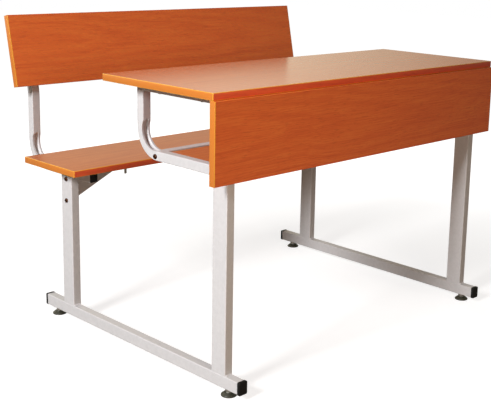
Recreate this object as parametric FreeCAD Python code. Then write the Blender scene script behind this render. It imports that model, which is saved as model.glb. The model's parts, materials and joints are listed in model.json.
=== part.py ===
import FreeCAD, Part
import math
import os

# Two-seat school desk with an attached bench: two welded side frames of steel tube carry five laminated boards.
# Millimetres, +Z up, X along the length. The modesty panel faces -Y and the bench is on the +Y side.
# The origin is on the floor, in the middle of the whole desk.
# A setback is measured from the desk top's front edge.

# Boards
board_length = 1130.0
board_thickness = 18.0
band_thickness = 2.0
band_round = 1.8
desk_height = 750.0
desk_depth = 420.0
panel_height = 198.0
panel_thickness = 18.0
panel_lead = 7.0
panel_gap = 0.5
shelf_thickness = 15.0
shelf_gap = 2.0
shelf_lift = 5.0
seat_height = 472.0
seat_depth = 247.0
seat_setback = 555.0
backrest_height = 204.0
backrest_rise = 668.0
backrest_setback = 830.0
backrest_tilt = 12.0

# Side frames of steel tube, all flush on their outer faces
frame_inset = 56.0
frame_width = 25.0
tube_depth = 25.0
top_tube_depth = 20.0
tube_wall = 1.5
tube_inner_corner = 1.0
leg_depth = 50.0
rail_height = 32.0
rail_lift = 18.0
rail_lead = 42.0
rail_length = 840.0
arm_height = 541.0
desk_post_setback = 327.0
rear_leg_setback = 654.0
seat_arm_recess = 7.0
bend_radius = 80.0
kink_drop = 14.0
kink_radius = 120.0
back_tube_drop = 30.0

# The press flattens a bend's inner wall and folds a groove into it, leaning from the bend's middle to its post
dent_depth = 6.0
groove_depth = 13.0
groove_round = 8.0
dent_spread = 60.0
dent_lean = 15.0

# Cross rails, gussets and shelf lugs
cross_tube = 25.0
end_plate = 3.0
shelf_rail_setback = 278.0
shelf_rail_drop = 1.5
gusset_thickness = 3.0
gusset_reach = 153.0
gusset_drop = 76.0
gusset_nose = 6.0
gusset_flange = 84.0
lug_length = 30.0
lug_thickness = 3.0
lug_reach = 28.0
lug_place_shares = (0.2, 0.75)

# Plastic caps and plugs: a cap's flange is larger than its tube on every side, a plug's is smaller
cap_flange = 8.0
cap_overhang = 1.0
plug_flange = 3.0
plug_margin = 1.0
insert_depth = 18.0
insert_clearance = 0.3

# Fasteners
bolt_radius = 4.0
bolt_head_radius = 6.5
bolt_head_height = 4.0
bolt_tail = 15.0
screw_radius = 2.5
screw_head_radius = 5.0
screw_head_height = 3.0
screw_bite = 12.0
panel_bite = 10.0
head_taper_share = 0.8
socket_flats = 5.0
socket_depth = 2.5
hole_clearance = 0.2
nut_flats = 13.0
nut_height = 6.5
gusset_bolt_drops = (9.0, 71.0)
stud_inset = 260.0
stud_bite = 8.0
stud_tail = 23.0
top_screw_shares = (0.2, 0.8)
seat_screw_shares = (0.15, 0.82)
back_screw_shares = (0.25, 0.8)
panel_bolt_shares = (0.2, 0.8)

# Levelling feet
foot_inset = 51.0
pad_radius = 20.0
pad_rim = 3.0
pad_height = 10.0
pad_crown_radius = 11.0
journal_radius = 6.0
journal_depth = 6.0
journal_clearance = 0.1
hex_flats = 17.0
stem_radius = 5.0
stem_reach = 24.0
stem_hole_clearance = 0.5
thread_clearance = 0.05
foot_nut_height = 8.0

# Room by which a cutting tool runs past the piece that it cuts
overrun = 5.0

V = FreeCAD.Vector
AXIS_X = V(1, 0, 0)
AXIS_Y = V(0, 1, 0)
AXIS_Z = V(0, 0, 1)

# Heights
desk_under = desk_height - board_thickness
rail_top = rail_lift + rail_height
seat_under = seat_height - board_thickness
seat_arm_under = seat_under - tube_depth
top_tube_under = desk_under - top_tube_depth
shelf_under = arm_height + shelf_lift
shelf_rail_under = arm_height - shelf_rail_drop

# The backrest leans back: one direction up its face, one out of its rear face
lean = math.radians(backrest_tilt)
lean_up = V(0, math.sin(lean), math.cos(lean))
lean_out = V(0, math.cos(lean), -math.sin(lean))
back_tube_reach = backrest_height - back_tube_drop

# Depths, with the whole desk centred on the origin
rear_end = backrest_setback + (board_thickness + tube_depth) * math.cos(lean) + back_tube_reach * math.sin(lean)
desk_front = (rail_lead - rear_end) / 2
rail_front = desk_front - rail_lead
rail_rear = rail_front + rail_length
panel_rear = desk_front - panel_lead + panel_thickness
front_leg_rear = panel_rear + leg_depth
rear_leg_front = desk_front + rear_leg_setback
rear_leg_middle = rear_leg_front + leg_depth / 2
desk_post_front = desk_front + desk_post_setback
shelf_rail_middle = desk_front + shelf_rail_setback

# Widths on the left side, which the right side mirrors
frame_left = frame_inset - board_length / 2
frame_inner = frame_left + frame_width
frame_middle = frame_left + frame_width / 2

# The backrest's lower rear edge, and the kink of the tube below it
back_edge = V(0, desk_front + backrest_setback, backrest_rise) + lean_out * board_thickness
kink = back_edge - lean_up * kink_drop
kink_tangent = (kink_radius + tube_depth / 2) * math.tan(lean / 2)

# Share of a corner's radius at which a quarter arc passes its corner
arc_share = 1 - math.sqrt(0.5)


def unit(vector):
    return V(vector).normalize()


def rounded_face(corner, across, rise, radius):
    # Rectangle from one corner along two vectors, with rounded corners
    steps = [across, rise, across * -1, rise * -1]
    edges = []
    for index, step in enumerate(steps):
        before = unit(steps[index - 1]) * radius
        after = unit(step) * radius
        middle = corner + (after - before) * arc_share
        edges.append(Part.Arc(corner - before, middle, corner + after).toShape())
        edges.append(Part.LineSegment(corner + after, corner + step - after).toShape())
        corner = corner + step
    return Part.Face(Part.Wire(edges))


def inset_face(corner, across, rise, inset, radius):
    # The same rectangle drawn in by one inset on every side
    side = unit(across) * inset
    end = unit(rise) * inset
    return rounded_face(corner + side + end, across - side * 2, rise - end * 2, radius)


def tube_faces(corner, across, rise):
    # Outline and bore of a tube's section
    outer = rounded_face(corner, across, rise, tube_inner_corner + tube_wall)
    return outer, inset_face(corner, across, rise, tube_wall, tube_inner_corner)


def straight_tube(corner, across, rise, run):
    outer, bore = tube_faces(corner, across, rise)
    return outer.extrude(run).cut(bore.extrude(run))


def follow(face, heading, steps):
    # Sweeps a section along straight runs (length, no radius) and turns about X (degrees, radius)
    solids = []
    for amount, radius in steps:
        if radius == 0:
            solids.append(face.extrude(heading * amount))
            face = face.translated(heading * amount)
            continue
        turn = math.copysign(1, amount)
        centre = face.CenterOfMass + AXIS_X.cross(heading) * radius * turn
        solids.append(face.revolve(centre, AXIS_X * turn, abs(amount)))
        face = face.rotated(centre, AXIS_X * turn, abs(amount))
        heading = FreeCAD.Rotation(AXIS_X, amount).multVec(heading)
    return solids[0].fuse(solids[1:]).removeSplitter()


def dent_arc(depth):
    # Shift and radius of an arc that is deepest in the middle of a bend's inner wall and fades out at its ends
    inner = bend_radius - tube_depth
    deepest = inner + depth
    fade = math.cos(math.radians(dent_spread))
    shift = (deepest ** 2 - inner ** 2) / (2 * (deepest - inner * fade))
    return shift, deepest - shift


def dent_tools(centre, wall):
    # The flattening and the groove of one bend, both grown by the wall
    middle = FreeCAD.Rotation(AXIS_X, dent_lean - 45).multVec(AXIS_Y)
    shift, radius = dent_arc(dent_depth)
    start = centre + middle * shift + AXIS_X * (frame_left - overrun)
    flat = Part.makeCylinder(radius + wall, frame_width + 2 * overrun, start, AXIS_X)
    shift, radius = dent_arc(groove_depth)
    ring = centre + middle * shift + AXIS_X * frame_middle
    groove = Part.makeTorus(radius - groove_round, groove_round + wall, ring, AXIS_X)
    return [flat, groove]


def bent_tube(front, under, post_rear, later_steps):
    # Arm along +Y, pressed bend upwards, post and whatever follows it
    corner = V(frame_left, front, under)
    outer, bore = tube_faces(corner, AXIS_X * frame_width, AXIS_Z * tube_depth)
    centre = V(0, post_rear - bend_radius, under + bend_radius)
    steps = [(centre.y - front, 0), (90, bend_radius - tube_depth / 2)] + later_steps
    skin = follow(outer, AXIS_Y, steps).cut(dent_tools(centre, 0))
    hollow = follow(bore, AXIS_Y, steps).cut(dent_tools(centre, tube_wall))
    return skin.cut(hollow)


def tube_insert(corner, across, rise, outward, flange, overhang):
    # Moulded cap: a flange over the tube's end and a plug inside it
    cover_round = tube_inner_corner + tube_wall + overhang
    cover = inset_face(corner, across, rise, -overhang, cover_round).extrude(outward * flange)
    inset = tube_wall + insert_clearance
    plug = inset_face(corner, across, rise, inset, tube_inner_corner).extrude(outward * -insert_depth)
    return cover.fuse(plug).removeSplitter()


def placed(shape, seat, direction):
    # Moves a shape made along +Z at the origin
    shape.Placement = FreeCAD.Placement(seat, FreeCAD.Rotation(AXIS_Z, direction))
    return shape


def hexagon(flats, height):
    radius = flats / math.sqrt(3)
    points = []
    for corner in range(7):
        angle = corner * math.pi / 3
        points.append(V(radius * math.cos(angle), radius * math.sin(angle), 0))
    return Part.Face(Part.makePolygon(points)).extrude(V(0, 0, height))


def headed(seat, direction, head_radius, head_height, shank_radius, length):
    # Screw or bolt whose tapered head sits on a surface and whose shank goes into it
    head = Part.makeCone(head_radius * head_taper_share, head_radius, head_height, V(0, 0, -head_height))
    socket = hexagon(socket_flats, socket_depth).translated(V(0, 0, -head_height))
    return placed(head.cut(socket).fuse(Part.makeCylinder(shank_radius, length)), seat, direction)


def bolt(seat, direction, length):
    return headed(seat, direction, bolt_head_radius, bolt_head_height, bolt_radius, length)


def screw(seat, direction, length):
    return headed(seat, direction, screw_head_radius, screw_head_height, screw_radius, length)


def drill(seat, direction, radius, length):
    return Part.makeCylinder(radius + hole_clearance, length, seat, direction)


def nut(seat, direction):
    ring = hexagon(nut_flats, nut_height).cut(Part.makeCylinder(bolt_radius + hole_clearance, nut_height))
    return placed(ring, seat, direction)


def mirrored(shape):
    return shape.mirror(V(0, 0, 0), AXIS_X)


def both(shapes):
    return shapes + [mirrored(shape) for shape in shapes]


def save(node, shape):
    shape.exportStep("parts/" + node + ".step")


def save_pair(node, shape):
    save(node + "_left", shape)
    save(node + "_right", mirrored(shape))


def save_group(node, shapes):
    save(node, Part.makeCompound(shapes))


def save_board(node, length, depth, thickness, corner, turn, holes):
    # Core and edge band, made flat and turned up about X at the board's lower rear edge
    blank = Part.makeBox(length, depth, thickness, V(-length / 2, 0, 0))
    core_length = length - 2 * band_thickness
    core_start = V(-core_length / 2, band_thickness, 0)
    core = Part.makeBox(core_length, depth - 2 * band_thickness, thickness, core_start)
    band = blank.makeFillet(band_round, blank.Edges).cut(core)
    place = FreeCAD.Placement(corner, FreeCAD.Rotation(AXIS_X, turn))
    core.Placement = place
    band.Placement = place
    save(node, core.cut(holes) if holes else core)
    save(node + "_edge_band", band)


os.makedirs("parts", exist_ok=True)
across_frame = AXIS_X * frame_width
across_leg = AXIS_Y * leg_depth

# Fasteners and the holes that they need, left side

desk_post_rear = desk_post_front + tube_depth
desk_arm_run = desk_post_rear - bend_radius - front_leg_rear
top_tube_run = desk_post_front - front_leg_rear
seat_arm_front = desk_front + seat_setback + seat_arm_recess + plug_flange
seat_arm_run = kink.y + tube_depth - bend_radius - seat_arm_front
shelf_left = frame_inner + shelf_gap

top_screws = []
top_holes = []
for share in top_screw_shares:
    seat = V(frame_middle, front_leg_rear + top_tube_run * share, top_tube_under)
    top_screws.append(screw(seat, AXIS_Z, top_tube_depth + screw_bite))
    top_holes.append(drill(seat, AXIS_Z, screw_radius, top_tube_depth + screw_bite))

seat_screws = []
seat_holes = []
for share in seat_screw_shares:
    seat = V(frame_middle, seat_arm_front + seat_arm_run * share, seat_arm_under)
    seat_screws.append(screw(seat, AXIS_Z, tube_depth + screw_bite))
    seat_holes.append(drill(seat, AXIS_Z, screw_radius, tube_depth + screw_bite))

back_screws = []
back_holes = []
for share in back_screw_shares:
    seat = back_edge + lean_up * back_tube_reach * share + lean_out * tube_depth + AXIS_X * frame_middle
    back_screws.append(screw(seat, lean_out * -1, tube_depth + screw_bite))
    back_holes.append(drill(seat, lean_out * -1, screw_radius, tube_depth + screw_bite))

panel_bolts = []
panel_holes = []
panel_bolt_floor = arm_height + tube_depth
for share in panel_bolt_shares:
    height = panel_bolt_floor + (top_tube_under - panel_bolt_floor) * share
    seat = V(frame_middle, front_leg_rear, height)
    panel_bolts.append(bolt(seat, AXIS_Y * -1, leg_depth + panel_bite))
    panel_holes.append(drill(seat, AXIS_Y * -1, bolt_radius, leg_depth + panel_bite))

gusset_bolts = []
gusset_holes = []
gusset_nuts = []
gusset_grip = frame_width + gusset_thickness
for drop in gusset_bolt_drops:
    seat = V(frame_left, rear_leg_middle, seat_arm_under - drop)
    gusset_bolts.append(bolt(seat, AXIS_X, gusset_grip + nut_height))
    gusset_holes.append(drill(seat, AXIS_X, bolt_radius, gusset_grip))
    gusset_nuts.append(nut(seat + AXIS_X * gusset_grip, AXIS_X))

rail_bolt_seat = V(frame_left, shelf_rail_middle, shelf_rail_under + cross_tube / 2)
rail_bolts = [bolt(rail_bolt_seat, AXIS_X, frame_width + bolt_tail)]
rail_bolt_hole = drill(rail_bolt_seat, AXIS_X, bolt_radius, frame_width + bolt_tail)

lugs = []
shelf_screws = []
shelf_holes = []
lug_width = shelf_gap + lug_reach
for share in lug_place_shares:
    middle = front_leg_rear + desk_arm_run * share
    seat = V(shelf_left + lug_reach / 2, middle, shelf_under - lug_thickness)
    hole = drill(seat, AXIS_Z, screw_radius, lug_thickness + screw_bite)
    plate = Part.makeBox(lug_width, lug_length, lug_thickness, V(frame_inner, middle - lug_length / 2, seat.z))
    lugs.append(plate.cut(hole))
    shelf_screws.append(screw(seat, AXIS_Z, lug_thickness + screw_bite))
    shelf_holes.append(hole)

stud_base = V(stud_inset - board_length / 2, rear_leg_middle, seat_arm_under - stud_tail)
stud_length = stud_tail + tube_depth + stud_bite
studs = [Part.makeCylinder(bolt_radius, stud_length, stud_base)]
stud_holes = [drill(stud_base, AXIS_Z, bolt_radius, stud_length)]
stud_nuts = [nut(stud_base + AXIS_Z * stud_tail, AXIS_Z * -1)]

save_group("top_screws", both(top_screws))
save_group("seat_screws", both(seat_screws))
save_group("backrest_screws", both(back_screws))
save_group("panel_bolts", both(panel_bolts))
save_group("gusset_bolts", both(gusset_bolts))
save_group("gusset_nuts", both(gusset_nuts))
save_group("shelf_rail_bolts", both(rail_bolts))
save_group("shelf_screws", both(shelf_screws))
save_group("seat_studs", both(studs))
save_group("seat_stud_nuts", both(stud_nuts))

# Foot rails, their caps and the levelling feet

rail_tube_run = AXIS_Y * (rail_length - 2 * cap_flange)
rail_corner = V(frame_left, rail_front + cap_flange, rail_lift)
rail_rise = AXIS_Z * rail_height
rail = straight_tube(rail_corner, across_frame, rail_rise, rail_tube_run)
foot_nuts = []
for place, foot_y in (("front", rail_front + foot_inset), ("rear", rail_rear - foot_inset)):
    centre = V(frame_middle, foot_y, 0)
    at_pad_top = centre + AXIS_Z * pad_height
    at_rail = centre + AXIS_Z * rail_lift
    in_rail = at_rail + AXIS_Z * tube_wall
    rail = rail.cut(Part.makeCylinder(stem_radius + stem_hole_clearance, tube_wall, at_rail))

    rim = Part.makeCylinder(pad_radius, pad_rim, centre)
    crown = Part.makeCone(pad_radius, pad_crown_radius, pad_height - pad_rim, centre + AXIS_Z * pad_rim)
    journal_base = at_pad_top - AXIS_Z * journal_depth
    socket = Part.makeCylinder(journal_radius + journal_clearance, journal_depth, journal_base)
    save_pair("foot_pad_" + place, rim.fuse(crown).removeSplitter().cut(socket))

    journal = Part.makeCylinder(journal_radius, journal_depth, journal_base)
    grip = hexagon(hex_flats, rail_lift - pad_height).translated(at_pad_top)
    shank = Part.makeCylinder(stem_radius, stem_reach, at_rail)
    save_pair("foot_stem_" + place, grip.fuse([journal, shank]))

    thread = Part.makeCylinder(stem_radius + thread_clearance, foot_nut_height, in_rail)
    foot_nuts.append(hexagon(hex_flats, foot_nut_height).translated(in_rail).cut(thread))
save_pair("foot_rail", rail)
save_group("foot_weld_nuts", both(foot_nuts))
rail_end = rail_corner + rail_tube_run
front_cap = tube_insert(rail_corner, across_frame, rail_rise, AXIS_Y * -1, cap_flange, cap_overhang)
rear_cap = tube_insert(rail_end, across_frame, rail_rise, AXIS_Y, cap_flange, cap_overhang)
save_pair("rail_cap_front", front_cap)
save_pair("rail_cap_rear", rear_cap)

# Legs

front_leg_corner = V(frame_left, panel_rear, rail_top)
front_leg = straight_tube(front_leg_corner, across_frame, across_leg, AXIS_Z * (desk_under - rail_top))
save_pair("front_leg", front_leg.cut(panel_holes))

rear_leg_corner = V(frame_left, rear_leg_front, rail_top)
rear_leg = straight_tube(rear_leg_corner, across_frame, across_leg, AXIS_Z * (seat_arm_under - rail_top))
save_pair("rear_leg", rear_leg.cut(gusset_holes))

# Tubes of the desk

desk_post_run = desk_under - arm_height - bend_radius
desk_tube = bent_tube(front_leg_rear, arm_height, desk_post_rear, [(desk_post_run, 0)])
save_pair("desk_bent_tube", desk_tube.cut(rail_bolt_hole))

top_tube_corner = V(frame_left, front_leg_rear, top_tube_under)
top_tube = straight_tube(top_tube_corner, across_frame, AXIS_Z * top_tube_depth, AXIS_Y * top_tube_run)
save_pair("desk_top_tube", top_tube.cut(top_holes))

# Tubes of the bench: a post that kinks back behind the backrest, with plugs in both ends

bench_post_run = kink.z - kink_tangent - seat_arm_under - bend_radius
back_run = kink_drop + back_tube_reach - kink_tangent
bench_steps = [(bench_post_run, 0), (-backrest_tilt, kink_radius), (back_run, 0)]
bench_tube = bent_tube(seat_arm_front, seat_arm_under, kink.y + tube_depth, bench_steps)
save_pair("bench_bent_tube", bench_tube.cut(seat_holes + back_holes))

arm_end = V(frame_left, seat_arm_front, seat_arm_under)
arm_plug = tube_insert(arm_end, across_frame, AXIS_Z * tube_depth, AXIS_Y * -1, plug_flange, -plug_margin)
save_pair("seat_arm_plug", arm_plug)
back_end = back_edge + lean_up * back_tube_reach + AXIS_X * frame_left
back_plug = tube_insert(back_end, across_frame, lean_out * tube_depth, lean_up, plug_flange, -plug_margin)
save_pair("back_tube_plug", back_plug)

# Cross rails, with closed ends on the shelf's rail, gussets and lugs

cross_run = AXIS_X * (-2 * frame_inner)
cross_depth = AXIS_Y * cross_tube
cross_rise = AXIS_Z * cross_tube
shelf_rail_corner = V(frame_inner, shelf_rail_middle - cross_tube / 2, shelf_rail_under)
shelf_rail = straight_tube(shelf_rail_corner, cross_depth, cross_rise, cross_run)
plate = tube_faces(shelf_rail_corner, cross_depth, cross_rise)[1].extrude(AXIS_X * end_plate)
shelf_rail = shelf_rail.fuse(both([plate])).removeSplitter()
save("shelf_rear_rail", shelf_rail.cut(both([rail_bolt_hole])))

seat_rail_corner = V(frame_inner, rear_leg_middle - cross_tube / 2, seat_arm_under)
seat_rail = straight_tube(seat_rail_corner, cross_depth, cross_rise, cross_run)
save("seat_cross_rail", seat_rail.cut(both(stud_holes)))

flange_corner = V(frame_inner, seat_rail_corner.y, seat_arm_under - gusset_flange)
flange = Part.makeBox(gusset_thickness, cross_tube, gusset_flange, flange_corner)
web_front = seat_rail_corner.y + cross_tube - gusset_thickness
web_points = [
    V(frame_inner, web_front, seat_arm_under),
    V(frame_inner, web_front, seat_arm_under - gusset_drop),
    V(frame_inner + gusset_reach, web_front, seat_arm_under - gusset_nose),
    V(frame_inner + gusset_reach, web_front, seat_arm_under),
]
web = Part.Face(Part.makePolygon(web_points + web_points[:1])).extrude(AXIS_Y * gusset_thickness)
save_pair("seat_gusset", flange.fuse(web).removeSplitter().cut(gusset_holes))
save_pair("shelf_lugs", Part.makeCompound(lugs))

# Boards

save_board("desk_top", board_length, desk_depth, board_thickness,
           V(0, desk_front, desk_under), 0, both(top_holes))
save_board("modesty_panel", board_length, panel_height, panel_thickness,
           V(0, panel_rear, desk_under - panel_gap - panel_height), 90, both(panel_holes))
shelf_front = panel_rear + shelf_gap
shelf_depth = shelf_rail_corner.y - shelf_gap - shelf_front
save_board("shelf", -2 * shelf_left, shelf_depth, shelf_thickness,
           V(0, shelf_front, shelf_under), 0, both(shelf_holes))
save_board("seat", board_length, seat_depth, board_thickness,
           V(0, desk_front + seat_setback, seat_under), 0, both(seat_holes + stud_holes))
save_board("backrest", board_length, backrest_height, board_thickness,
           back_edge, 90 - backrest_tilt, both(back_holes))
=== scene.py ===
# %% [markdown]
# A two-seat school desk with its bench.
# Five boards of cherry laminate sit on two welded side frames of steel tube.
# The solids come from the CAD model at their real size. This lesson gives each of them its finish,
# and models the small pieces that need more shape than a solid has: bands, bolts, feet, caps and welds.

# %% Load the desk
import json
import math

import bmesh
import bpy
from mathutils import Matrix, Quaternion, Vector


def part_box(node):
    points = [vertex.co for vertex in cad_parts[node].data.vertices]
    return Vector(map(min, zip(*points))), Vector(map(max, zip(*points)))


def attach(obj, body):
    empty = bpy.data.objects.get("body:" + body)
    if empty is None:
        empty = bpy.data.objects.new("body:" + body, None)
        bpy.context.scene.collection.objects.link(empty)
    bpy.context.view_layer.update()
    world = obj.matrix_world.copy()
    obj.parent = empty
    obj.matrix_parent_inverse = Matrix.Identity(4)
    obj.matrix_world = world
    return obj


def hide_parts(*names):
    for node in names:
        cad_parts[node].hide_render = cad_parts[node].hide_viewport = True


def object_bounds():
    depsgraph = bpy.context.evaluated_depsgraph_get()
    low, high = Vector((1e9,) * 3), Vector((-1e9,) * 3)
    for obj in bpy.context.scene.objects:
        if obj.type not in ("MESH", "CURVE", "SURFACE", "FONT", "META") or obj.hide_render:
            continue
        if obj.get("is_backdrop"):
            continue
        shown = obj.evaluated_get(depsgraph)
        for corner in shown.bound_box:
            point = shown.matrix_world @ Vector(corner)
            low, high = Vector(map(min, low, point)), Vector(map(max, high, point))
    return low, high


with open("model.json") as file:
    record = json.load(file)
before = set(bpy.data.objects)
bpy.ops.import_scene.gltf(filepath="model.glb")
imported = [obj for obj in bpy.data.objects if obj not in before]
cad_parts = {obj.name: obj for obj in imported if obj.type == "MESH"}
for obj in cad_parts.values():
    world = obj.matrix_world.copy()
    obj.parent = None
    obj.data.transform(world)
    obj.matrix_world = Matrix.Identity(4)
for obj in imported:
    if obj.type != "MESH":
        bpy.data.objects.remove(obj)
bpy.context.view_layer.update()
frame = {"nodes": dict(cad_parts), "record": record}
nodes = frame["nodes"]
MM = 0.001

# %% [markdown]
# Every finish below is a small node tree on one Principled shader.
# Colours are written as hex values, the way a paint card gives them, and turned to linear light once, here.
# One function adds a node: its settings are plain attributes, and each input gets a value or a link.

# %% Tools for finishes
def linear(hex_colour):
    channels = []
    for start in (1, 3, 5):
        value = int(hex_colour[start:start + 2], 16) / 255
        channels.append(value / 12.92 if value <= 0.04045 else ((value + 0.055) / 1.055) ** 2.4)
    return (*channels, 1.0)


def add_node(tree, kind, inputs, **settings):
    node = tree.nodes.new("ShaderNode" + kind)
    for name, value in settings.items():
        setattr(node, name, value)
    for socket, value in inputs.items():
        if isinstance(value, bpy.types.NodeSocket):
            tree.links.new(value, node.inputs[socket])
        else:
            node.inputs[socket].default_value = value
    return node


def new_finish(name, **sockets):
    # A material with one Principled shader, whose constant values are set on its own sockets
    material = bpy.data.materials.new(name)
    material.use_nodes = True
    shader = material.node_tree.nodes["Principled BSDF"]
    for socket, value in sockets.items():
        shader.inputs[socket.replace("_", " ")].default_value = value
    return material, material.node_tree, shader


def ramp(tree, factor, stops):
    # Colour ramp from (position, hex colour) pairs
    node = add_node(tree, "ValToRGB", {"Fac": factor})
    elements = node.color_ramp.elements
    while len(elements) < len(stops):
        elements.new(0)
    for element, (position, colour) in zip(elements, stops):
        element.position = position
        element.color = linear(colour)
    return node.outputs["Color"]


def drive(tree, shader, **links):
    # Links outputs to the shader's sockets
    for socket, output in links.items():
        tree.links.new(output, shader.inputs[socket.replace("_", " ")])


print("Mid grey in linear light is", round(linear("#808080")[0], 3))

# %% [markdown]
# The boards are particle board under cherry melamine laminate.
# It is a printed grain under a clear satin resin: colour comes from the print, gloss from the resin.
# A picture of wood would do it, but the print can also be drawn the way a tree makes it.
# Growth rings are cylinders round the heart of the trunk. A plank cut a little askew to the heart shows them
# as long pointed arches, so each board gets rings about its own slanted heart line, hidden behind its face.
# Fine streaks and short pores, both noise stretched along the board, lie over the rings.

# %% Cherry laminate
RING_SPACING = 19 * MM
HEART_DEPTH = 65 * MM
HEART_SLANT = math.radians(2.4)
# Real streaks are about 0.6 mm wide. They are drawn wider, so that they show from two metres away.
STREAK_WIDTH = 2.2 * MM
STREAK_LENGTH = 130 * MM
PORE_WIDTH = 1.8 * MM
PORE_LENGTH = 22 * MM
WANDER_LENGTH = 260 * MM
WANDER_WIDTH = 22 * MM
# The Wave texture has this length for one ring at a scale of 1
WAVE_PERIOD = math.pi / 10
# Noise varies about this middle
NOISE_MIDDLE = (0.5, 0.5, 0.5)
NOISE_ROUGHNESS = 0.55
# This much of the tone comes from the streaks, the rest from the rings
STREAK_SHARE = 0.88
# Pores fade in between two values of their noise, up to this strength
PORE_START = 0.58
PORE_FULL = 0.72
PORE_STRENGTH = 0.42
PRINT_RELIEF = 0.04 * MM
PRINT_RELIEF_STRENGTH = 0.1


def grain_layer(tree, place, width, length, detail):
    # Noise of one width across the board, stretched to a length along X
    stretched = add_node(tree, "Mapping", {"Vector": place, "Scale": (width / length, 1, 1)})
    layer = add_node(tree, "TexNoise", {"Vector": stretched.outputs["Vector"], "Scale": 1 / width,
                                        "Detail": detail, "Roughness": NOISE_ROUGHNESS})
    return layer.outputs["Fac"]


def wandering_place(tree):
    # Object coordinates pushed a little across the board, so that the grain isn't ruled straight
    place = add_node(tree, "TexCoord", {}).outputs["Object"]
    wander = add_node(tree, "TexNoise", {"Vector": place, "Scale": 1 / WANDER_LENGTH, "Detail": 1})
    centred = add_node(tree, "VectorMath", {0: wander.outputs["Color"], 1: NOISE_MIDDLE},
                       operation="SUBTRACT")
    pushed = add_node(tree, "VectorMath", {0: centred.outputs["Vector"], 1: (0, WANDER_WIDTH, WANDER_WIDTH)},
                      operation="MULTIPLY")
    return add_node(tree, "VectorMath", {0: place, 1: pushed.outputs["Vector"]}).outputs["Vector"]


def cherry_print(tree, heart, stops, pore_colour):
    # Rings round a slanted heart line, streaks and pores. Returns the print's colour and its streaks.
    place = wandering_place(tree)
    turned = add_node(tree, "Mapping", {"Vector": place, "Location": heart,
                                        "Rotation": (0, HEART_SLANT, HEART_SLANT)}, vector_type="TEXTURE")
    rings = add_node(tree, "TexWave", {"Vector": turned.outputs["Vector"],
                                       "Scale": WAVE_PERIOD / RING_SPACING},
                     wave_type="RINGS", rings_direction="X")
    streaks = grain_layer(tree, place, STREAK_WIDTH, STREAK_LENGTH, detail=3)
    pores = grain_layer(tree, place, PORE_WIDTH, PORE_LENGTH, detail=1)
    tone = add_node(tree, "Mix", {"Factor": STREAK_SHARE, "A": rings.outputs["Fac"], "B": streaks})
    colour = ramp(tree, tone.outputs["Result"], stops)
    shown = add_node(tree, "MapRange", {"Value": pores, "From Min": PORE_START, "From Max": PORE_FULL,
                                        "To Max": PORE_STRENGTH})
    mixed = add_node(tree, "Mix", {"Factor": shown.outputs["Result"], "A": colour, "B": linear(pore_colour)},
                     data_type="RGBA")
    return mixed.outputs["Result"], streaks


def print_relief(tree, streaks):
    # The streaks can also be felt a little
    relief = add_node(tree, "Bump", {"Height": streaks, "Strength": PRINT_RELIEF_STRENGTH,
                                     "Distance": PRINT_RELIEF})
    return relief.outputs["Normal"]


CHERRY = [(0.30, "#E57633"), (0.50, "#DE692D"), (0.70, "#D25D28")]
# The seat and the shelf take a browner, darker copy of the print. For the shelf, under the desk top, it is
# painted shade.
BROWN_AND_SHADED_CHERRY = [(0.30, "#CE7633"), (0.50, "#C7692D"), (0.70, "#BD5D28")]
CHERRY_PORES = "#B04A20"
MELAMINE_IOR = 1.57
# The gloss follows the streaks, from a little smoother than the board's own roughness to a little rougher
SMOOTHER = 0.03
ROUGHER = 0.05


def cherry_laminate(board, stops, upright, matt):
    # The resin is satin, and each board has its own roughness
    low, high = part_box(board)
    behind = Vector((0, HEART_DEPTH, 0)) if upright else Vector((0, 0, -HEART_DEPTH))
    material, tree, shader = new_finish("cherry melamine laminate " + board, IOR=MELAMINE_IOR)
    colour, streaks = cherry_print(tree, (low + high) / 2 + behind, stops, CHERRY_PORES)
    gloss = add_node(tree, "MapRange", {"Value": streaks, "To Min": matt - SMOOTHER,
                                        "To Max": matt + ROUGHER})
    drive(tree, shader, Base_Color=colour, Roughness=gloss.outputs["Result"],
          Normal=print_relief(tree, streaks))
    return material


LAMINATES = {
    "desk_top": cherry_laminate("desk_top", CHERRY, upright=False, matt=0.18),
    "shelf": cherry_laminate("shelf", BROWN_AND_SHADED_CHERRY, upright=False, matt=0.55),
    "seat": cherry_laminate("seat", BROWN_AND_SHADED_CHERRY, upright=False, matt=0.42),
    "modesty_panel": cherry_laminate("modesty_panel", CHERRY, upright=True, matt=0.22),
    "backrest": cherry_laminate("backrest", CHERRY, upright=True, matt=0.26),
}
print("Laminates:", len(LAMINATES), "boards,", len(LAMINATES["seat"].node_tree.nodes), "nodes each")

# %% [markdown]
# The frame is light grey powder coat on steel.
# The powder melts and flows into a skin with a faint orange peel, so the gloss is broken, not mirror-like.
# A fine noise gives the peel, and a slow one a slight unevenness of colour, as on any sprayed frame.

# %% Powder coat
PEEL_SIZE = 2.5 * MM
PEEL_DEPTH = 0.1 * MM
PEEL_STRENGTH = 0.2
MOTTLE_SIZE = 9 * MM
COAT_COLOURS = [(0.3, "#C6C5C7"), (0.7, "#CDCCCE")]
COAT_SMOOTHEST = 0.36
COAT_ROUGHEST = 0.48
COAT_IOR = 1.5


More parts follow.
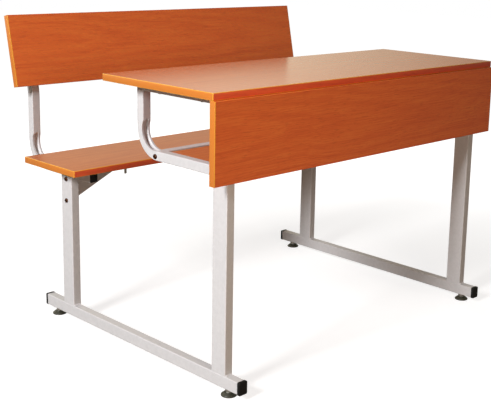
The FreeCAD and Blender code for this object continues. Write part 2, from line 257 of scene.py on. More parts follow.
def powder_coat():
    material, tree, shader = new_finish("light grey powder coat", IOR=COAT_IOR)
    place = add_node(tree, "TexCoord", {}).outputs["Object"]
    mottle = add_node(tree, "TexNoise", {"Vector": place, "Scale": 1 / MOTTLE_SIZE, "Detail": 4})
    colour = ramp(tree, mottle.outputs["Fac"], COAT_COLOURS)
    peel = add_node(tree, "TexNoise", {"Vector": place, "Scale": 1 / PEEL_SIZE, "Detail": 2})
    gloss = add_node(tree, "MapRange", {"Value": mottle.outputs["Fac"], "To Min": COAT_SMOOTHEST,
                                        "To Max": COAT_ROUGHEST})
    relief = add_node(tree, "Bump", {"Height": peel.outputs["Fac"], "Strength": PEEL_STRENGTH,
                                     "Distance": PEEL_DEPTH})
    drive(tree, shader, Base_Color=colour, Roughness=gloss.outputs["Result"], Normal=relief.outputs["Normal"])
    return material


POWDER = powder_coat()
print("Powder coat:", len(POWDER.node_tree.nodes), "nodes")

# %% [markdown]
# The boards' edges are closed with ABS band.
# The band on the ends is orange, painted light, and its extruder leaves faint lines along it.
# The band on the long edges carries the boards' cherry grain in a redder tone, painted shade.
# Both are one band: lit and shaded copies, picked by the way each face points.
# Under the skin of both is yellower ABS, which the trimmer lays bare along every corner and leaves smooth.
# The bright yellow given to those corners is a painted highlight.

# %% Edge band finishes
DIE_LINE = 1.2 * MM
DIE_LINE_LENGTH = 40 * DIE_LINE
BAND_ROUGHNESS = 0.34
TRIMMED_ROUGHNESS = 0.22
GLOSS_SPREAD = 0.06
LINES_LOW = 0.3
LINES_HIGH = 0.7
ABS_IOR = 1.53
# The long edges' darker red print is painted shade
SHADED_RED_CHERRY = [(0.30, "#D9592B"), (0.50, "#D35027"), (0.70, "#C64823")]
SHADED_RED_PORES = "#A03A1C"


def plain_band(name, colours, roughness):
    material, tree, shader = new_finish(name, IOR=ABS_IOR)
    place = add_node(tree, "TexCoord", {}).outputs["Object"]
    lines = grain_layer(tree, place, DIE_LINE, DIE_LINE_LENGTH, detail=2)
    colour = ramp(tree, lines, [(LINES_LOW, colours[0]), (LINES_HIGH, colours[1])])
    gloss = add_node(tree, "MapRange", {"Value": lines, "To Min": roughness - GLOSS_SPREAD,
                                        "To Max": roughness + GLOSS_SPREAD})
    drive(tree, shader, Base_Color=colour, Roughness=gloss.outputs["Result"])
    return material


def shaded_printed_band():
    material, tree, shader = new_finish("cherry printed edge band painted shade", IOR=ABS_IOR, Roughness=BAND_ROUGHNESS)
    colour, streaks = cherry_print(tree, (0, 0, 0), SHADED_RED_CHERRY, SHADED_RED_PORES)
    drive(tree, shader, Base_Color=colour, Normal=print_relief(tree, streaks))
    return material


# The ends' orange is painted light, a brighter copy of the same band
LIT_ORANGE_BAND = plain_band("orange ABS edge band painted light", ("#C07027", "#C9772C"), BAND_ROUGHNESS)
# The trimmed corners' bright yellow is a painted highlight
TRIM_HIGHLIGHT_BAND = plain_band("trimmed ABS painted highlight", ("#DE9832", "#E6A138"), TRIMMED_ROUGHNESS)
SHADED_PRINTED_BAND = shaded_printed_band()
print("Bands:", LIT_ORANGE_BAND.name, SHADED_PRINTED_BAND.name, TRIM_HIGHLIGHT_BAND.name, sep=", ")

# %% [markdown]
# The small pieces are moulded plastic and plated steel.
# Moulds for caps and feet are spark-eroded, which leaves a fine even grain that breaks the gloss.
# Black oxide keeps the steel's sheen under a dark brown-black film.
# Zinc plate is pale with cloudy patches.
# All four are one recipe: a noise of the right size moves the colour, the roughness and the surface a little.

# %% Plastics and plated steel
GRAIN_LOW = 0.32
GRAIN_HIGH = 0.68
GRAIN_STRENGTH = 0.3


def grained_finish(name, grain_size, colours, roughness, depth, **sockets):
    material, tree, shader = new_finish(name, **sockets)
    place = add_node(tree, "TexCoord", {}).outputs["Object"]
    grain = add_node(tree, "TexNoise", {"Vector": place, "Scale": 1 / grain_size, "Detail": 3}).outputs["Fac"]
    colour = ramp(tree, grain, [(GRAIN_LOW, colours[0]), (GRAIN_HIGH, colours[1])])
    gloss = add_node(tree, "MapRange", {"Value": grain, "To Min": roughness[0], "To Max": roughness[1]})
    relief = add_node(tree, "Bump", {"Height": grain, "Strength": GRAIN_STRENGTH, "Distance": depth})
    drive(tree, shader, Base_Color=colour, Roughness=gloss.outputs["Result"], Normal=relief.outputs["Normal"])
    return material


BLACK_PLASTIC = grained_finish("moulded black polyethylene", grain_size=1.2 * MM, depth=0.06 * MM,
                               colours=("#0D0D0E", "#151515"), roughness=(0.55, 0.7),
                               IOR=1.51, Specular_IOR_Level=0.2)
FOOT_PLASTIC = grained_finish("moulded black nylon", grain_size=1.6 * MM, depth=0.08 * MM,
                              colours=("#2A2B24", "#3B3B32"), roughness=(0.30, 0.46), IOR=1.53)
BLACK_OXIDE = grained_finish("black oxide steel", grain_size=1.5 * MM, depth=0.03 * MM,
                             colours=("#3A241B", "#66402C"), roughness=(0.30, 0.48), Metallic=1.0)
ZINC = grained_finish("zinc plated steel", grain_size=3 * MM, depth=0.03 * MM,
                      colours=("#A9A9A4", "#C9C9C4"), roughness=(0.26, 0.44), Metallic=1.0)
print("Small finishes:", BLACK_PLASTIC.name, FOOT_PLASTIC.name, BLACK_OXIDE.name, ZINC.name, sep=", ")

# %% [markdown]
# The record names a slot for each CAD node, so the solids are dressed in one loop.
# Boards take the laminate that was drawn for them.

# %% Dress the solids
FINISH_OF_SLOT = {"powder_coat": POWDER, "edge_band": LIT_ORANGE_BAND, "black_plastic": BLACK_PLASTIC,
                  "foot_plastic": FOOT_PLASTIC, "dark_bolt": BLACK_OXIDE, "zinc": ZINC}
for part in frame["record"]["subparts"]:
    solid = nodes[part["node"]]
    solid.data.materials.clear()
    solid.data.materials.append(LAMINATES.get(part["node"]) or FINISH_OF_SLOT[part["material_slot"]])

# %% [markdown]
# The rest of the lesson models the small pieces in bmesh, at their real size.
# Each ends the same way: its doubles are merged, its faces turned outwards and smoothed between sharp edges,
# and it is handed to the body that carries it, in place of the plain solid.
# Bands, pads and caps also share one way to round an edge.

# %% How a piece is kept
SHARP_TURN = math.radians(35)
MERGE_DISTANCE = 0.002 * MM
# Two measures that differ by less than this count as equal
NEAR = 0.01 * MM
# A face points along an axis when that part of its normal is longer than this
SQUARE_ON = 0.99
ROUND_SEGMENTS = 3


def keep_piece(name, mesh, finishes, body, replaced):
    bmesh.ops.remove_doubles(mesh, verts=mesh.verts, dist=MERGE_DISTANCE)
    bmesh.ops.recalc_face_normals(mesh, faces=mesh.faces)
    data = bpy.data.meshes.new(name)
    mesh.to_mesh(data)
    mesh.free()
    data.shade_smooth()
    data.set_sharp_from_angle(angle=SHARP_TURN)
    for finish in finishes:
        data.materials.append(finish)
    piece = bpy.data.objects.new(name, data)
    bpy.context.scene.collection.objects.link(piece)
    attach(piece, body)
    if replaced:
        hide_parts(*replaced)
    return piece


def join_copy(mesh, part, place):
    # Adds a copy of a small mesh to a larger one
    data = bpy.data.meshes.new("copy")
    part.to_mesh(data)
    data.transform(place)
    mesh.from_mesh(data)
    bpy.data.meshes.remove(data)


def round_edges(mesh, edges, radius, segments=ROUND_SEGMENTS):
    bmesh.ops.bevel(mesh, geom=edges, offset=radius, affect="EDGES", segments=segments, profile=0.5,
                    material=-1)


print("Edges sharper than", round(math.degrees(SHARP_TURN)), "degrees stay sharp")

# %% [markdown]
# A board's band is 2 mm thick, and its corners are trimmed round.
# The short ends carry the orange band, painted light, and the long edges the darker red printed one, painted
# shade.
# Trimming cuts through both, and the bright line along each corner is a painted highlight.
# On the panel and the backrest the trim is finer and the long bands are printed on their rims too,
# so the line is faint.
# Four mitred strips would do, but a box is quicker: its two covers are inset and opened,
# the inside is bridged, and the outer corners are bevelled.
# Which finish a face gets follows from the way it points.

# %% Edge bands
BAND = 2.0 * MM
TRIM = 1.4 * MM
UPRIGHT_TRIM = 0.5 * MM
LEAN = math.radians(12)
BOARD_TURNS = {"desk_top": 0, "shelf": 0, "seat": 0, "modesty_panel": math.pi / 2,
               "backrest": math.pi / 2 - LEAN}
# Faces that point along X, Y and Z get these finishes in turn, and bevelled ones the last:
# painted light, painted shade and painted highlight
BAND_FINISHES = [LIT_ORANGE_BAND, SHADED_PRINTED_BAND, TRIM_HIGHLIGHT_BAND]
SHADED_PRINTED = 1
TRIM_HIGHLIGHT = 2


def board_sizes(board):
    # Length, width and thickness of a board that is turned up about X, from its box
    low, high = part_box(board)
    length, depth, height = high - low
    cosine, sine = math.cos(BOARD_TURNS[board]), math.sin(BOARD_TURNS[board])
    spread = cosine ** 2 - sine ** 2
    width = (depth * cosine - height * sine) / spread
    thickness = (height * cosine - depth * sine) / spread
    return length, width, thickness


def edge_band(board):
    length, width, thickness = board_sizes(board)
    trim = UPRIGHT_TRIM if BOARD_TURNS[board] else TRIM
    mesh = bmesh.new()
    bmesh.ops.create_cube(mesh, size=1)
    bmesh.ops.scale(mesh, vec=(length + 2 * BAND, width + 2 * BAND, thickness), verts=mesh.verts)
    mesh.normal_update()
    corners = mesh.edges[:]
    covers = [face for face in mesh.faces if abs(face.normal.z) > SQUARE_ON]
    bmesh.ops.inset_individual(mesh, faces=covers, thickness=BAND, use_even_offset=True)
    rims = [edge for face in covers for edge in face.edges]
    bmesh.ops.delete(mesh, geom=covers, context="FACES_ONLY")
    bmesh.ops.bridge_loops(mesh, edges=rims)
    round_edges(mesh, corners, trim)
    mesh.normal_update()
    # The way each face points picks its finish, and with it its painted light, shade or highlight
    for face in mesh.faces:
        square = [abs(part) > SQUARE_ON for part in face.normal]
        face.material_index = square.index(True) if True in square else TRIM_HIGHLIGHT
        along = abs(face.calc_center_median().x) < length / 2
        if square[2] and along and BOARD_TURNS[board]:
            face.material_index = SHADED_PRINTED
    bmesh.ops.rotate(mesh, matrix=Matrix.Rotation(BOARD_TURNS[board], 3, "X"), verts=mesh.verts)
    bmesh.ops.translate(mesh, vec=sum(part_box(board), Vector()) / 2, verts=mesh.verts)
    keep_piece(board + "_trimmed_band", mesh, BAND_FINISHES, "frame", [board + "_edge_band"])
    print("Band round", board, [round(side / MM, 1) for side in (length, width, thickness)])


for board in BOARD_TURNS:
    edge_band(board)

# %% [markdown]
# Bolts and screws have a low domed head with a hexagon socket.
# A turned piece is quickest from its outline: a row of points, each a radius and a height,
# spun about an axis. Only the socket isn't round. It is a circle of six sides,
# cut finer so that it has as many points as the head's rim, then bridged to that rim and sunk.

# %% Turned pieces and sockets
SPIN_STEPS = 36
DOME_STEPS = 5
HEXAGON_SIDES = 6
# Share of the head's radius
SOCKET_SHARE = 0.77
# Shares of the head's height
SOCKET_DEPTH_SHARE = 0.62
HEAD_EDGE_SHARE = 0.15
SOCKET_RIM = 0.25 * MM
# Share of the shank's radius
TIP_SHARE = 0.8


def lathe(mesh, outline, steps=SPIN_STEPS):
    verts = [mesh.verts.new((radius, 0, height)) for radius, height in outline]
    edges = [mesh.edges.new(pair) for pair in zip(verts, verts[1:])]
    bmesh.ops.spin(mesh, geom=verts + edges, cent=(0, 0, 0), axis=(0, 0, 1), angle=2 * math.pi,
                   steps=steps, use_merge=True)
    bmesh.ops.remove_doubles(mesh, verts=mesh.verts, dist=MERGE_DISTANCE)


def shift_made(mesh, made, shift):
    # Moves the points that an operator has just made along Z
    bmesh.ops.translate(mesh, vec=(0, 0, shift),
                        verts=[part for part in made["geom"] if isinstance(part, bmesh.types.BMVert)])


def level_circle(mesh, segments, radius, height):
    # A loose ring of edges, turned so that a corner lies on the X axis, where a spin starts
    place = Matrix.Translation((0, 0, height)) @ Matrix.Rotation(math.pi / 2, 4, "Z")
    bmesh.ops.create_circle(mesh, segments=segments, radius=radius, matrix=place)
    return [edge for edge in mesh.edges if edge.is_wire]


def hexagon(mesh, flats, height):
    # Six sides cut into as many edges as a spin has steps
    sides = level_circle(mesh, HEXAGON_SIDES, flats / math.sqrt(3), height)
    bmesh.ops.subdivide_edges(mesh, edges=sides, cuts=SPIN_STEPS // HEXAGON_SIDES - 1)
    return [edge for edge in mesh.edges if edge.is_wire]


def socket_screw(head_radius, head_height, shank_radius, length):
    # Head on +Z with its seat at zero, shank towards -Z
    flats = head_radius * SOCKET_SHARE
    rim_radius = flats / math.sqrt(3) + SOCKET_RIM
    outline = []
    for step in range(DOME_STEPS + 1):
        angle = math.pi / 2 * step / DOME_STEPS
        rise = HEAD_EDGE_SHARE + (1 - HEAD_EDGE_SHARE) * math.cos(angle)
        outline.append((rim_radius + (head_radius - rim_radius) * math.sin(angle), head_height * rise))
    tip = shank_radius * TIP_SHARE
    outline += [(head_radius, 0), (shank_radius, 0), (shank_radius, tip - shank_radius - length),
                (tip, -length), (0, -length)]
    mesh = bmesh.new()
    lathe(mesh, outline)
    rim = [edge for edge in mesh.edges if edge.is_boundary]
    socket = hexagon(mesh, flats, head_height)
    bmesh.ops.bridge_loops(mesh, edges=rim + socket)
    shift_made(mesh, bmesh.ops.extrude_edge_only(mesh, edges=socket), -head_height * SOCKET_DEPTH_SHARE)
    bmesh.ops.holes_fill(mesh, edges=[edge for edge in mesh.edges if edge.is_boundary], sides=0)
    return mesh


print("Turned pieces have", SPIN_STEPS, "sides")

# %% [markdown]
# A CAD group holds several fasteners in one node, so their places have to be found in its mesh.
# The mesh is loose triangles: a merged copy is walked from point to point, and each island is one fastener.
# Along its outward direction, the island's far end is the top of the head.

# %% Bolts and screws
BACKWARDS = Vector((0, math.cos(LEAN), -math.sin(LEAN)))
DOWN = Vector((0, 0, -1))
TO_REAR = Vector((0, 1, 0))
# Head radius, head height and shank radius
BOLT = (6.5 * MM, 4 * MM, 4 * MM)
SCREW = (5 * MM, 3 * MM, 2.5 * MM)


def islands(node):
    mesh = bmesh.new()
    mesh.from_mesh(nodes[node].data)
    bmesh.ops.remove_doubles(mesh, verts=mesh.verts, dist=MERGE_DISTANCE)
    found = []
    for start in mesh.verts:
        if start.tag:
            continue
        start.tag = True
        island = [start]
        for vert in island:
            for edge in vert.link_edges:
                other = edge.other_vert(vert)
                if not other.tag:
                    other.tag = True
                    island.append(other)
        found.append([vert.co.copy() for vert in island])
    mesh.free()
    return found


def middle(points):
    low = Vector([min(point[axis] for point in points) for axis in range(3)])
    high = Vector([max(point[axis] for point in points) for axis in range(3)])
    return (low + high) / 2


def turn_to(direction):
    # The turn that brings +Z to a direction
    return Vector(direction).to_track_quat("Z", "Y").to_matrix().to_4x4()


def fasten(node, sizes, finish, outward=None):
    # Without a direction, a head points away from the middle of the desk
    head_radius, head_height, shank_radius = sizes
    group = bmesh.new()
    for points in islands(node):
        direction = outward or Vector((math.copysign(1, points[0].x), 0, 0))
        reach = [point.dot(direction) for point in points]
        crown = middle([point for point, far in zip(points, reach) if far > max(reach) - NEAR])
        length = max(reach) - min(reach) - head_height
        place = Matrix.Translation(crown - direction * head_height) @ turn_to(direction)
        screw = socket_screw(head_radius, head_height, shank_radius, length)
        join_copy(group, screw, place)
        screw.free()
    count = len(group.verts)
    keep_piece(node + "_socket_heads", group, [finish], "frame", [node])
    print(node, count, "points")


for node, outward in (("gusset_bolts", None), ("shelf_rail_bolts", None), ("panel_bolts", TO_REAR)):
    fasten(node, BOLT, BLACK_OXIDE, outward)
for node, outward in (("top_screws", DOWN), ("seat_screws", DOWN), ("shelf_screws", DOWN),
                      ("backrest_screws", BACKWARDS)):
    fasten(node, SCREW, ZINC, outward)

# %% [markdown]
# A nut is cut from hexagon bar and turned on both faces, so its corners fall away in curved chamfers.
# The chamfer is a cone: the further a point of the outline is from the axis, the lower it lies.
# So the outline is drawn with points along each side, and each is dropped by the cone's slope.
# The turned hole is then spun and merges with the faces. The same hexagon is the grip of the levelling feet.

# %% Nuts
CHAMFER_SLOPE = math.tan(math.radians(30))
FACE_SHARE = 0.98
NUT_FLATS = 13 * MM
NUT_HEIGHT = 6.5 * MM
NUT_HOLE = 4.2 * MM
NUT_LEAD_IN = 0.5 * MM


def chamfered_hexagon(mesh, flats, low, high):
    # The six sides between two heights, each end closed onto a circle just inside the flats
    outline = hexagon(mesh, flats, low)
    shift_made(mesh, bmesh.ops.extrude_edge_only(mesh, edges=outline), high - low)
    half = (low + high) / 2
    for vert in mesh.verts:
        drop = (vert.co.xy.length - flats / 2) * CHAMFER_SLOPE
        vert.co.z -= math.copysign(drop, vert.co.z - half)
    open_edges = [edge for edge in mesh.edges if edge.is_boundary]
    for height in (low, high):
        near = [edge for edge in open_edges if abs(edge.verts[0].co.z - height) < (high - low) / 2]
        ring = level_circle(mesh, SPIN_STEPS, flats / 2 * FACE_SHARE, height)
        bmesh.ops.bridge_loops(mesh, edges=near + ring)


def hexagon_nut(flats, height, hole, lead_in):
    face = flats / 2 * FACE_SHARE
    top = height / 2
    mesh = bmesh.new()
    chamfered_hexagon(mesh, flats, -top, top)
    lathe(mesh, [(face, top), (hole + lead_in, top), (hole, top - lead_in), (hole, lead_in - top),
                 (hole + lead_in, -top), (face, -top)])
    return mesh


def place_nuts(node, axis):
    group = bmesh.new()
    nut = hexagon_nut(NUT_FLATS, NUT_HEIGHT, NUT_HOLE, NUT_LEAD_IN)
    for points in islands(node):
        join_copy(group, nut, Matrix.Translation(middle(points)) @ turn_to(axis))
    nut.free()
    keep_piece(node + "_chamfered", group, [ZINC], "frame", [node])


place_nuts("gusset_nuts", (1, 0, 0))
place_nuts("seat_stud_nuts", (0, 0, 1))
print("Nuts in place")

# %% [markdown]
# A thread is a ridge wound round a core.
# Spin does it with one more value: a small rise at each step turns the ring into a helix.
# The ridge's four-sided section is wound, closed at both ends, and sunk a little into the core.

# %% Threads
THREAD_STEPS = 24
# Shares of the pitch: the thread's depth, and half the ridge's width at its foot and at its crest
DEPTH_SHARE = 0.61
RIDGE_FOOT_SHARE = 0.47
RIDGE_CREST_SHARE = 0.08
# The ridge is sunk into the core by this share of its depth
SUNK_SHARE = 0.2
STUD_CREST = 4 * MM
STUD_PITCH = 1.25 * MM


def core_radius(crest, pitch):
    return crest - DEPTH_SHARE * pitch


def thread(mesh, crest, pitch, low, high):
    sunk = core_radius(crest, pitch) - SUNK_SHARE * (DEPTH_SHARE * pitch)
    half_foot = RIDGE_FOOT_SHARE * pitch
    half_crest = RIDGE_CREST_SHARE * pitch
    turns = (high - low) / pitch - 1
    steps = round(THREAD_STEPS * turns)
    start = low + pitch / 2
    section = [(sunk, -half_foot), (crest, -half_crest), (crest, half_crest), (sunk, half_foot)]
    ridge = bmesh.new()
    verts = [ridge.verts.new((radius, 0, start + height)) for radius, height in section]
    edges = [ridge.edges.new(pair) for pair in zip(verts, verts[1:] + verts[:1])]
    bmesh.ops.spin(ridge, geom=verts + edges, cent=(0, 0, 0), axis=(0, 0, 1),
                   dvec=(0, 0, turns * pitch / steps), angle=2 * math.pi * turns, steps=steps)
    bmesh.ops.holes_fill(ridge, edges=[edge for edge in ridge.edges if edge.is_boundary], sides=0)
    join_copy(mesh, ridge, Matrix.Identity(4))
    ridge.free()


def stud(length):
    root = core_radius(STUD_CREST, STUD_PITCH)
    bevel = STUD_PITCH / 2
    mesh = bmesh.new()
    thread(mesh, STUD_CREST, STUD_PITCH, 0, length)
    lathe(mesh, [(0, 0), (root - bevel, 0), (root, bevel), (root, length - bevel), (root - bevel, length),
                 (0, length)])
    return mesh


studs = bmesh.new()
for points in islands("seat_studs"):
    foot = min(point.z for point in points)
    rod = stud(max(point.z for point in points) - foot)
    centre = middle(points)
    join_copy(studs, rod, Matrix.Translation((centre.x, centre.y, foot)))
    rod.free()
keep_piece("seat_stud_rods", studs, [ZINC], "frame", ["seat_studs"])
print("Threaded studs in place")

# %% [markdown]
# A levelling foot is a nylon pad that swivels on a steel stem with a hexagon grip.
# Both are turned pieces. The pad's corners are rounded by a bevel on its rings.
# Each rides on its own body, because the stem turns in the rail while the pad only goes up or down with it.

# %% Levelling feet
PAD_RIM = 3 * MM
PAD_CROWN = 11 * MM
PAD_ROUND = 0.9 * MM
JOURNAL = 6 * MM
JOURNAL_PLAY = 0.1 * MM
HEX_FLATS = 17 * MM
STEM_CREST = 5 * MM
STEM_PITCH = 1.5 * MM


def foot_pad(radius, height, floor):
    # Flared disc with a round socket for the stem, its three outer corners rounded
    mesh = bmesh.new()
    socket = JOURNAL + JOURNAL_PLAY
    lathe(mesh, [(0, 0), (radius, 0), (radius, PAD_RIM), (PAD_CROWN, height), (socket, height),
                 (socket, floor), (0, floor)])
    rings = []
    for edge in mesh.edges:
        ends = [vert.co.xy.length for vert in edge.verts]
        level = edge.verts[0].co.z == edge.verts[1].co.z
        if level and abs(ends[0] - ends[1]) < NEAR and min(ends) > PAD_CROWN - NEAR:
            rings.append(edge)
    round_edges(mesh, rings, PAD_ROUND)
    return mesh


def foot_stem(journal_low, hex_low, hex_high, top):
    face = HEX_FLATS / 2 * FACE_SHARE
    root = core_radius(STEM_CREST, STEM_PITCH)
    bevel = STEM_PITCH / 2
    mesh = bmesh.new()
    chamfered_hexagon(mesh, HEX_FLATS, hex_low, hex_high)
    lathe(mesh, [(face, hex_high), (root, hex_high), (root, top - bevel), (root - bevel, top), (0, top)])
    lathe(mesh, [(0, journal_low), (JOURNAL, journal_low), (JOURNAL, hex_low), (face, hex_low)])
    thread(mesh, STEM_CREST, STEM_PITCH, hex_high, top)
    return mesh


for foot in ("front_left", "front_right", "rear_left", "rear_right"):
    pad_node, stem_node = "foot_pad_" + foot, "foot_stem_" + foot
    low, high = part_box(pad_node)
    stem_low, stem_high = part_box(stem_node)
    rail_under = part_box("foot_rail_" + foot.split("_")[1])[0].z
    centre = (low + high) / 2
    pad = foot_pad((high.x - low.x) / 2, high.z, stem_low.z)
    stem = foot_stem(stem_low.z, high.z, rail_under, stem_high.z)
    for turned in (pad, stem):
        bmesh.ops.translate(turned, vec=(centre.x, centre.y, 0), verts=turned.verts)
    keep_piece("turned_pad_" + foot, pad, [FOOT_PLASTIC], pad_node, [pad_node])
    keep_piece("threaded_stem_" + foot, stem, [ZINC], stem_node, [stem_node])
print("Four feet: pad", round((high.x - low.x) / MM), "mm across")

# %% [markdown]
# Open tube ends are closed by moulded caps: a flange that shows, and a plug that grips inside the tube.
# A rail's cap stands a little over its tube. The plugs of the bench tubes are a little smaller than theirs.
# One block makes either: its four corners are bevelled, its face gets a softer edge,
# and its back is inset to clear the tube's wall and pulled out into the plug.

# %% Caps and plugs
PLUG_DEPTH = 18 * MM
CORNER_SEGMENTS = 5
CAP_FLANGE = 8 * MM
CAP_CORNER = 3.5 * MM
CAP_STEP = 2.8 * MM
CAP_SOFT_EDGE = 1.4 * MM
PLUG_FLANGE = 3 * MM
PLUG_CORNER = 1.5 * MM
PLUG_STEP = 0.8 * MM
PLUG_SOFT_EDGE = 0.7 * MM
LEAN_UP = Vector((0, math.sin(LEAN), math.cos(LEAN)))


def tube_cap(width, depth, flange, corner, step, soft_edge):
    # Flange from zero to +Z, plug towards -Z, smaller than the flange by one step on every side
    mesh = bmesh.new()
    bmesh.ops.create_cube(mesh, size=1)
    bmesh.ops.scale(mesh, vec=(width, depth, flange), verts=mesh.verts)
    bmesh.ops.translate(mesh, vec=(0, 0, flange / 2), verts=mesh.verts)
    uprights = [edge for edge in mesh.edges if abs(edge.verts[0].co.z - edge.verts[1].co.z) > flange / 2]
    round_edges(mesh, uprights, corner, CORNER_SEGMENTS)
    mesh.normal_update()
    back = [face for face in mesh.faces if face.normal.z < -SQUARE_ON]
    rim = [edge for face in mesh.faces if face.normal.z > SQUARE_ON for edge in face.edges]
    round_edges(mesh, rim, soft_edge)
    bmesh.ops.inset_region(mesh, faces=back, thickness=step, use_even_offset=True)
    shift_made(mesh, bmesh.ops.extrude_face_region(mesh, geom=back), -PLUG_DEPTH)
    bmesh.ops.delete(mesh, geom=back, context="FACES_ONLY")
    return mesh


def place_cap(node, cap, seat, turn):
    mesh = bmesh.new()
    join_copy(mesh, cap, Matrix.Translation(seat) @ Matrix.Rotation(turn, 4, "X"))
    keep_piece(node + "_moulded", mesh, [BLACK_PLASTIC], "frame", [node])


for side in ("left", "right"):
    for end, turn in (("front", math.pi / 2), ("rear", -math.pi / 2)):
        node = "rail_cap_" + end + "_" + side
        low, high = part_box(node)
        seat = (low + high) / 2
        seat.y = low.y + CAP_FLANGE if end == "front" else high.y - CAP_FLANGE
        cap = tube_cap(high.x - low.x, high.z - low.z, CAP_FLANGE, CAP_CORNER, CAP_STEP, CAP_SOFT_EDGE)
        place_cap(node, cap, seat, turn)
        cap.free()

    low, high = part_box("seat_arm_plug_" + side)
    width = high.x - low.x
    plug = tube_cap(width, width, PLUG_FLANGE, PLUG_CORNER, PLUG_STEP, PLUG_SOFT_EDGE)
    seat = (low + high) / 2
    seat.y = low.y + PLUG_FLANGE
    place_cap("seat_arm_plug_" + side, plug, seat, math.pi / 2)

    # The back tube and its plug lean: the plug's box is highest at its front edge and ends at its rear one
    low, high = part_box("back_tube_plug_" + side)
    half = width / 2
    crown = Vector(((low.x + high.x) / 2, high.y - half * math.cos(LEAN), high.z - half * math.sin(LEAN)))
    place_cap("back_tube_plug_" + side, plug, crown - LEAN_UP * PLUG_FLANGE, -LEAN)
    plug.free()
print("Caps and plugs in place, flange", round(width / MM), "mm wide")

# %% [markdown]
# The tubes are welded where they meet. The coat covers the beads, but their ripples still show.
# A bead is a short rippled rod laid into the corner, so it is another turned piece:
# its outline swells at each ripple.
# The corners are read from the boxes of the tubes, and every bead runs across the width of a tube.

# %% Welds
BEAD_RADIUS = 3.4 * MM
BEAD_RIPPLE = 2.0 * MM
BEAD_SIDES = 14
VALLEY_SHARE = 0.93
END_SHARE = 0.6
TUBE_CORNER = 2.5 * MM


def weld_bead(length):
    ripples = round(length / BEAD_RIPPLE)
    outline = [(0, 0)]
    for step in range(2 * ripples + 1):
        swell = 1.0 if step % 2 else VALLEY_SHARE
        fade = END_SHARE if step in (0, 2 * ripples) else 1.0
        outline.append((BEAD_RADIUS * swell * fade, length * step / (2 * ripples)))
    outline.append((0, length))
    mesh = bmesh.new()
    lathe(mesh, outline, BEAD_SIDES)
    return mesh


def weld_corners(side):
    # (y, z) of each corner that a bead fills
    corners = []
    for leg in ("front_leg_", "rear_leg_"):
        low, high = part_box(leg + side)
        corners += [(low.y, low.z), (high.y, low.z)]
    # The rear leg was read last, and it is welded at its top too
    corners += [(low.y, high.z), (high.y, high.z)]
    arm, arm_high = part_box("desk_bent_tube_" + side)
    tube_low, tube_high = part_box("desk_top_tube_" + side)
    corners += [(arm.y, arm.z), (arm.y, arm.z + arm_high.x - arm.x)]
    corners += [(tube_low.y, tube_low.z), (tube_high.y, tube_low.z)]
    return corners


for side in ("left", "right"):
    low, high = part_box("front_leg_" + side)
    length = high.x - low.x - 2 * TUBE_CORNER
    bead = weld_bead(length)
    along = Matrix.Rotation(math.pi / 2, 4, "Y")
    group = bmesh.new()
    for y, z in weld_corners(side):
        join_copy(group, bead, Matrix.Translation((low.x + TUBE_CORNER, y, z)) @ along)
    bead.free()
    keep_piece("frame_welds_" + side, group, [POWDER], "frame", [])
print("Welds:", len(weld_corners("left")), "on each side frame, each", round(length / MM), "mm long")

# %% [markdown]
# A white studio: a pale floor, a white sweep behind the desk and a dim warm room in front of it.
# The camera sees plain white all round. Glossy surfaces see the sweep and the room, which is why
# the desk top looks pale and the upright boards look deep.
# Everything else gets only a little light from the room.

# %% Studio world
ROOM_LIGHT = 0.06
ROOM_COLOUR = "#FFE2C4"
SWEEP_COLOUR = "#FFF9DA"
# The sweep rises out of the room between these parts of a ray's heading along Y
SWEEP_START = 0.5
SWEEP_FULL = 0.72
ROOM_IN_GLOSS = 0.3
SWEEP_IN_GLOSS = 1.08
WHITE = (1, 1, 1, 1)


def studio_world():
    world = bpy.data.worlds.new("white studio")
    world.use_nodes = True
    tree = world.node_tree
    path = add_node(tree, "LightPath", {})
    heading = add_node(tree, "TexCoord", {}).outputs["Generated"]
    depth = add_node(tree, "SeparateXYZ", {"Vector": heading}).outputs["Y"]
    sweep = add_node(tree, "MapRange", {"Value": depth, "From Min": SWEEP_START, "From Max": SWEEP_FULL,
                                        "To Min": ROOM_IN_GLOSS, "To Max": SWEEP_IN_GLOSS})
    glossy = add_node(tree, "Mix", {"Factor": path.outputs["Is Glossy Ray"], "A": ROOM_LIGHT,
                                    "B": sweep.outputs["Result"]})
    strength = add_node(tree, "Mix", {"Factor": path.outputs["Is Camera Ray"], "A": glossy.outputs["Result"],
                                      "B": 1.0})
    shown = add_node(tree, "Mix", {"Factor": path.outputs["Is Glossy Ray"], "A": linear(ROOM_COLOUR),
                                   "B": linear(SWEEP_COLOUR)}, data_type="RGBA")
    colour = add_node(tree, "Mix", {"Factor": path.outputs["Is Camera Ray"], "A": shown.outputs["Result"],
                                    "B": WHITE}, data_type="RGBA")
    background = tree.nodes["Background"]
    tree.links.new(colour.outputs["Result"], background.inputs["Color"])
    tree.links.new(strength.outputs["Result"], background.inputs["Strength"])
    return world


bpy.context.scene.world = studio_world()
print("World:", bpy.context.scene.world.name)

# %% [markdown]
# The floor is white paper. It takes the desk's soft shadow near the middle and fades to the white
# of the sweep further out, where the camera sees it glow. Gloss sees a part of that glow.
# The light that it throws back up is that of a darker, warmer floor, so the shaded faces stay deep.

# %% Studio floor
FLOOR_HALF = 12.0
GLOW_NEAR = 0.77
GLOW_IN_GLOSS = 0.1
FADE_START = 0.7
FADE_END = 2.2
PAPER_COLOUR = "#A8A8A8"
BOUNCE_COLOUR = "#8C8072"
PAPER_ROUGHNESS = 0.9


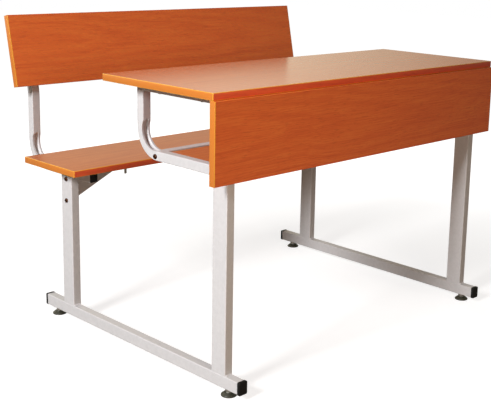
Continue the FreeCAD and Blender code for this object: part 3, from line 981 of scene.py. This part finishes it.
def studio_floor():
    mesh = bmesh.new()
    bmesh.ops.create_grid(mesh, x_segments=1, y_segments=1, size=FLOOR_HALF)
    floor = bpy.data.objects.new("floor", bpy.data.meshes.new("floor"))
    mesh.to_mesh(floor.data)
    mesh.free()
    bpy.context.scene.collection.objects.link(floor)
    material, tree, shader = new_finish("white paper floor", Roughness=PAPER_ROUGHNESS,
                                        Specular_IOR_Level=0.0, Emission_Color=WHITE)
    place = add_node(tree, "TexCoord", {}).outputs["Object"]
    away = add_node(tree, "VectorMath", {0: place}, operation="LENGTH")
    glow = add_node(tree, "MapRange", {"Value": away.outputs["Value"], "From Min": FADE_START,
                                       "From Max": FADE_END, "To Min": GLOW_NEAR, "To Max": 1.0},
                    interpolation_type="SMOOTHSTEP")
    path = add_node(tree, "LightPath", {})
    seen = add_node(tree, "Math", {0: path.outputs["Is Glossy Ray"], 1: GLOW_IN_GLOSS,
                                   2: path.outputs["Is Camera Ray"]}, operation="MULTIPLY_ADD")
    shown = add_node(tree, "Math", {0: seen.outputs["Value"], 1: glow.outputs["Result"]},
                     operation="MULTIPLY")
    paper = add_node(tree, "Mix", {"Factor": path.outputs["Is Camera Ray"], "A": linear(BOUNCE_COLOUR),
                                   "B": linear(PAPER_COLOUR)}, data_type="RGBA")
    drive(tree, shader, Base_Color=paper.outputs["Result"], Emission_Strength=shown.outputs["Value"])
    floor.data.materials.append(material)
    floor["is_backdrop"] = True
    return floor


print("Floor:", studio_floor().dimensions.x, "m wide")

# %% [markdown]
# Three soft lamps, as in a small product studio.
# The key is high and far on the left: it brightens the frame's outer faces,
# and the near tubes shade the far ones.
# A weak warm fill in front of the near corner lights the upright boards and falls off along them.
# A wide lamp behind evens out the rear side. It is kept out of reflections, where the sweep already shows.

# %% Lamps
def softbox(name, place, target, width, watts, colour, shines):
    lamp = bpy.data.lights.new(name, "AREA")
    lamp.size = width
    lamp.energy = watts
    lamp.color = linear(colour)[:3]
    box = bpy.data.objects.new(name, lamp)
    box.location = place
    box.rotation_euler = (Vector(target) - Vector(place)).to_track_quat("-Z", "Y").to_euler()
    box.visible_camera = False
    box.visible_glossy = shines
    bpy.context.scene.collection.objects.link(box)


softbox("key high on the left", place=(-4.4, -0.72, 2.73), target=(-0.2, -0.05, 0.45),
        width=1.1, watts=288, colour="#FFFFFF", shines=True)
softbox("warm fill at the front", place=(-0.75, -2.1, 1.0), target=(-0.2, -0.2, 0.55),
        width=0.6, watts=14, colour="#FFE6CE", shines=True)
softbox("soft lamp behind", place=(2.0, 2.3, 1.3), target=(0.2, 0.2, 0.5),
        width=1.6, watts=28, colour="#FFF4E8", shines=False)
bpy.context.scene.view_settings.view_transform = "Standard"
print("Lamps:", [lamp.name for lamp in bpy.data.lights])

# %% [markdown]
# The camera stands where the photographer stood, worked out from the corners of the boards and tubes.
# The picture was cropped off centre, so the lens is shifted by the same amount.

# %% Camera
PHOTO_WIDTH = 491
PHOTO_HEIGHT = 400
FOCAL_PIXELS = 973.06
AXIS_PIXEL_X = 290
AXIS_PIXEL_Y = 150
CAMERA_PLACE = Vector((-1995.99, -2044.55, 1069.63)) * MM
CAMERA_LOOK = Vector((0.70745, 0.67714, -0.20249))
CAMERA_ROLL = math.radians(1.473)

lens = bpy.data.cameras.new("camera")
lens.sensor_fit = "HORIZONTAL"
lens.lens = lens.sensor_width * FOCAL_PIXELS / PHOTO_WIDTH
lens.shift_x = (PHOTO_WIDTH / 2 - AXIS_PIXEL_X) / PHOTO_WIDTH
lens.shift_y = (AXIS_PIXEL_Y - PHOTO_HEIGHT / 2) / PHOTO_WIDTH
camera = bpy.data.objects.new("camera", lens)
camera.location = CAMERA_PLACE
level = CAMERA_LOOK.to_track_quat("-Z", "Y")
camera.rotation_euler = (level @ Quaternion((0, 0, 1), CAMERA_ROLL)).to_euler()
bpy.context.scene.collection.objects.link(camera)
bpy.context.scene.camera = camera
print("Camera:", round(lens.lens, 1), "mm lens")

# %% [markdown]
# The finished desk keeps the CAD model's size. Its visual box is printed.

# %% Sizes
low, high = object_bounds()
print("Visual box", [round(side / MM, 1) for side in high - low], "mm")
